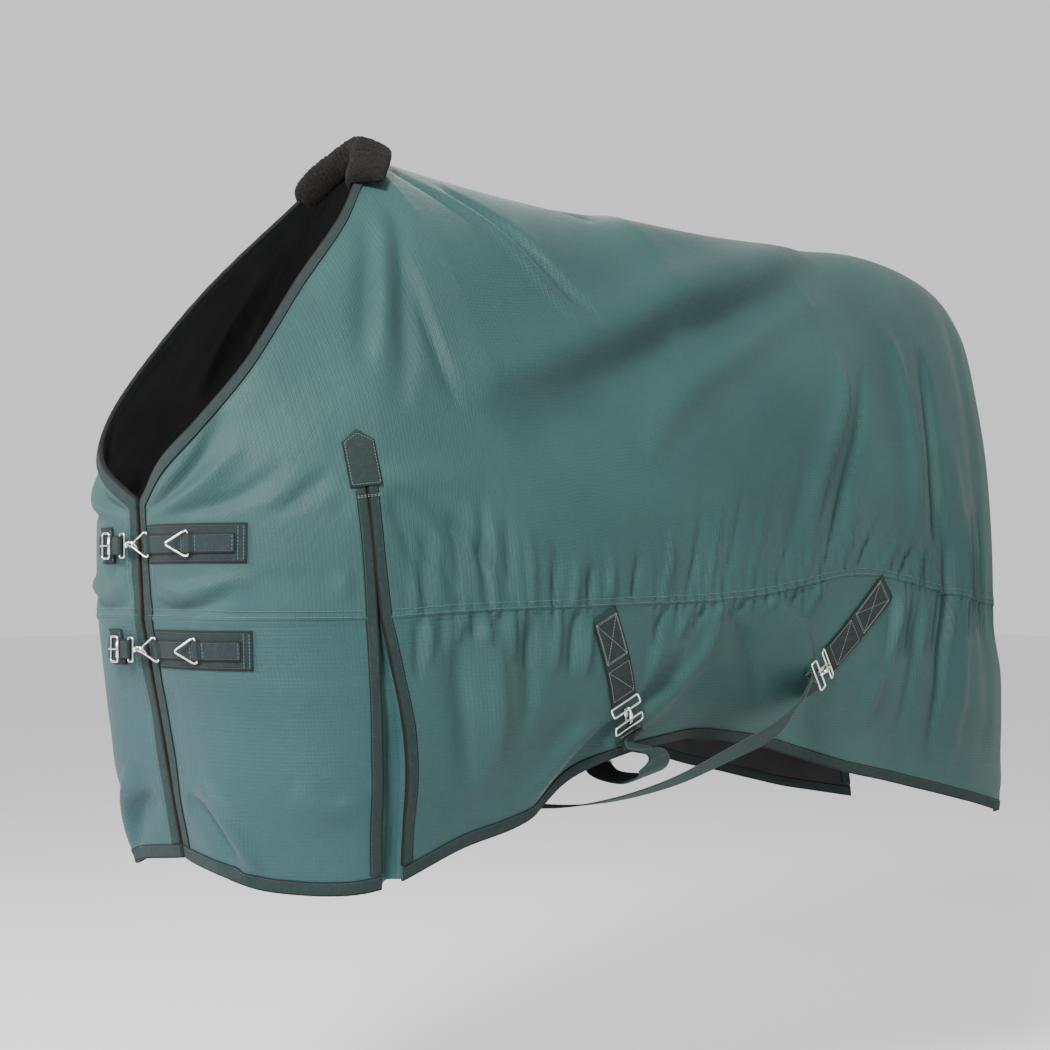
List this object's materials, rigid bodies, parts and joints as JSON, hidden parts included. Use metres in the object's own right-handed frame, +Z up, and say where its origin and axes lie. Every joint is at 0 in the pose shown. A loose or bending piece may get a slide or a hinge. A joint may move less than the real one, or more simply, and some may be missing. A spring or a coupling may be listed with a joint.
{
  "type": "turnout rug",
  "caption": "Standard-neck turnout rug: cloth shell over a dark lining, bound edges, withers pad, shoulder gussets, chest snap straps and crossed belly straps.",
  "frame": {"origin": "the point of the rug that rests on top of the withers, on the centre line", "axes": "+X to the tail, +Y to the horse right (far) side, +Z up"},
  "size_m": [1.7841, 0.6776, 1.0788],
  "materials": {
    "cloth": "ripstop, waterproof",
    "lining": "plain nylon",
    "binding": "woven tape",
    "webbing": "woven webbing",
    "fleece": "fleece pile",
    "steel": "bright nickel plate"
  },
  "bodies": {
    "rug": {"back_panel": "cloth", "belly_strap_front": "webbing", "belly_strap_rear": "webbing", "belly_tab_front_left": "webbing", "belly_tab_front_right": "webbing", "belly_tab_rear_left": "webbing", "belly_tab_rear_right": "webbing", "buckle_lower": "steel", "buckle_upper": "steel", "chest_base_lower": "webbing", "chest_base_upper": "webbing", "chest_panel_left": "cloth", "chest_panel_right": "cloth", "chest_strap_lower": "webbing", "chest_strap_upper": "webbing", "chest_web_lower": "webbing", "chest_web_upper": "webbing", "front_binding_left": "binding", "front_binding_right": "binding", "gusset_binding_front_left": "binding", "gusset_binding_front_right": "binding", "gusset_binding_rear_left": "binding", "gusset_binding_rear_right": "binding", "gusset_left": "cloth", "gusset_right": "cloth", "gusset_tab_left": "webbing", "gusset_tab_right": "webbing", "hem_binding_front_left": "binding", "hem_binding_front_right": "binding", "hem_binding_side_left": "binding", "hem_binding_side_right": "binding", "lining": "lining", "neck_binding": "binding", "rear_binding_left": "binding", "rear_binding_right": "binding", "side_panel_left": "cloth", "side_panel_right": "cloth", "strap_patch_lower": "webbing", "strap_patch_upper": "webbing", "wither_fleece": "fleece"},
    "ring_front_upper": {"ring_front_upper": "steel"},
    "ring_spare_upper": {"ring_spare_upper": "steel"},
    "buckle_tongue_upper": {"buckle_tongue_upper": "steel"},
    "snap_eye_upper": {"snap_eye_upper": "steel"},
    "snap_hook_upper": {"snap_hook_upper": "steel"},
    "snap_gate_upper": {"snap_gate_upper": "steel"},
    "ring_front_lower": {"ring_front_lower": "steel"},
    "ring_spare_lower": {"ring_spare_lower": "steel"},
    "buckle_tongue_lower": {"buckle_tongue_lower": "steel"},
    "snap_eye_lower": {"snap_eye_lower": "steel"},
    "snap_hook_lower": {"snap_hook_lower": "steel"},
    "snap_gate_lower": {"snap_gate_lower": "steel"},
    "belly_loop_front": {"belly_loop_front": "steel"},
    "belly_hook_front": {"belly_hook_front": "steel"},
    "strap_loop_front": {"strap_loop_front": "steel"},
    "strap_slider_front": {"strap_slider_front": "steel"},
    "belly_loop_rear": {"belly_loop_rear": "steel"},
    "belly_hook_rear": {"belly_hook_rear": "steel"},
    "strap_loop_rear": {"strap_loop_rear": "steel"},
    "strap_slider_rear": {"strap_slider_rear": "steel"}
  },
  "joints": [
    {"name": "ring_front_upper_swing", "type": "hinge", "parent": "rug", "child": "ring_front_upper", "pos_m": [-0.35694, -0.03001, -0.56838], "axis": [-0.071, 0.0069, 0.9975], "range_deg": [-2, 1.5]},
    {"name": "ring_spare_upper_swing", "type": "hinge", "parent": "rug", "child": "ring_spare_upper", "pos_m": [-0.35003, -0.11515, -0.56827], "axis": [-0.0487, -0.0144, 0.9987], "range_deg": [0, 150]},
    {"name": "buckle_tongue_upper_turn", "type": "hinge", "parent": "rug", "child": "buckle_tongue_upper", "pos_m": [-0.36766, 0.06483, -0.56895], "axis": [0, 0, -1], "range_deg": [0, 110]},
    {"name": "snap_eye_upper_tilt", "type": "hinge", "parent": "rug", "child": "snap_eye_upper", "pos_m": [-0.36206, 0.03033, -0.56895], "axis": [0, 0, 1], "range_deg": [-1.5, 1.2]},
    {"name": "snap_hook_upper_swivel", "type": "hinge", "parent": "snap_eye_upper", "child": "snap_hook_upper", "pos_m": [-0.36206, 0.01833, -0.56895], "axis": [0, 1, 0], "range_deg": [-8, 3]},
    {"name": "snap_gate_upper_open", "type": "hinge", "parent": "snap_hook_upper", "child": "snap_gate_upper", "pos_m": [-0.36785, 0.00076, -0.56533], "axis": [-0.5299, 0, -0.848], "range_deg": [-7, 0], "stiffness_Nm_per_rad": 0.02},
    {"name": "ring_front_lower_swing", "type": "hinge", "parent": "rug", "child": "ring_front_lower", "pos_m": [-0.34325, -0.03117, -0.70296], "axis": [-0.1817, 0.0057, 0.9833], "range_deg": [0, 1.5]},
    {"name": "ring_spare_lower_swing", "type": "hinge", "parent": "rug", "child": "ring_spare_lower", "pos_m": [-0.33818, -0.11561, -0.7027], "axis": [-0.1291, -0.0253, 0.9913], "range_deg": [0, 150]},
    {"name": "buckle_tongue_lower_turn", "type": "hinge", "parent": "rug", "child": "buckle_tongue_lower", "pos_m": [-0.3558, 0.06326, -0.70442], "axis": [0, 0, -1], "range_deg": [0, 110]},
    {"name": "snap_eye_lower_tilt", "type": "hinge", "parent": "rug", "child": "snap_eye_lower", "pos_m": [-0.3502, 0.02876, -0.70442], "axis": [0, 0, 1], "range_deg": [0, 1.2]},
    {"name": "snap_hook_lower_swivel", "type": "hinge", "parent": "snap_eye_lower", "child": "snap_hook_lower", "pos_m": [-0.3502, 0.01676, -0.70442], "axis": [0, 1, 0], "range_deg": [-8, 0.4]},
    {"name": "snap_gate_lower_open", "type": "hinge", "parent": "snap_hook_lower", "child": "snap_gate_lower", "pos_m": [-0.35599, -0.00081, -0.7008], "axis": [-0.5299, 0, -0.848], "range_deg": [-7, 0], "stiffness_Nm_per_rad": 0.02},
    {"name": "belly_loop_front_swing", "type": "hinge", "parent": "rug", "child": "belly_loop_front", "pos_m": [0.25224, -0.29087, -0.7856], "axis": [0.9097, -0.0567, 0.4113], "range_deg": [-0.8, 0.8]},
    {"name": "belly_hook_front_swing", "type": "hinge", "parent": "belly_loop_front", "child": "belly_hook_front", "pos_m": [0.25721, -0.29298, -0.79687], "axis": [0.9097, -0.0567, 0.4113], "range_deg": [-1, 1]},
    {"name": "strap_loop_front_swing", "type": "hinge", "parent": "rug", "child": "strap_loop_front", "pos_m": [0.2694, -0.28485, -0.82271], "axis": [0.9097, -0.0567, 0.4113], "range_deg": [-1, 1]},
    {"name": "strap_slider_front_slide", "type": "slide", "parent": "rug", "child": "strap_slider_front", "axis": [0.652, 0.7579, 0.0216], "range_m": [-0.012, 0.012]},
    {"name": "belly_loop_rear_swing", "type": "hinge", "parent": "rug", "child": "belly_loop_rear", "pos_m": [0.72637, -0.28955, -0.74181], "axis": [0.6274, 0.1319, -0.7674], "range_deg": [-0.8, 0.8]},
    {"name": "belly_hook_rear_swing", "type": "hinge", "parent": "belly_loop_rear", "child": "belly_hook_rear", "pos_m": [0.71752, -0.29346, -0.74972], "axis": [0.6274, 0.1319, -0.7674], "range_deg": [-1, 1]},
    {"name": "strap_loop_rear_swing", "type": "hinge", "parent": "rug", "child": "strap_loop_rear", "pos_m": [0.6944, -0.28975, -0.76798], "axis": [0.6274, 0.1319, -0.7674], "range_deg": [-1, 1]},
    {"name": "strap_slider_rear_slide", "type": "slide", "parent": "rug", "child": "strap_slider_rear", "axis": [-0.3647, 0.9311, 0.0063], "range_m": [-0.012, 0.012]}
  ]
}
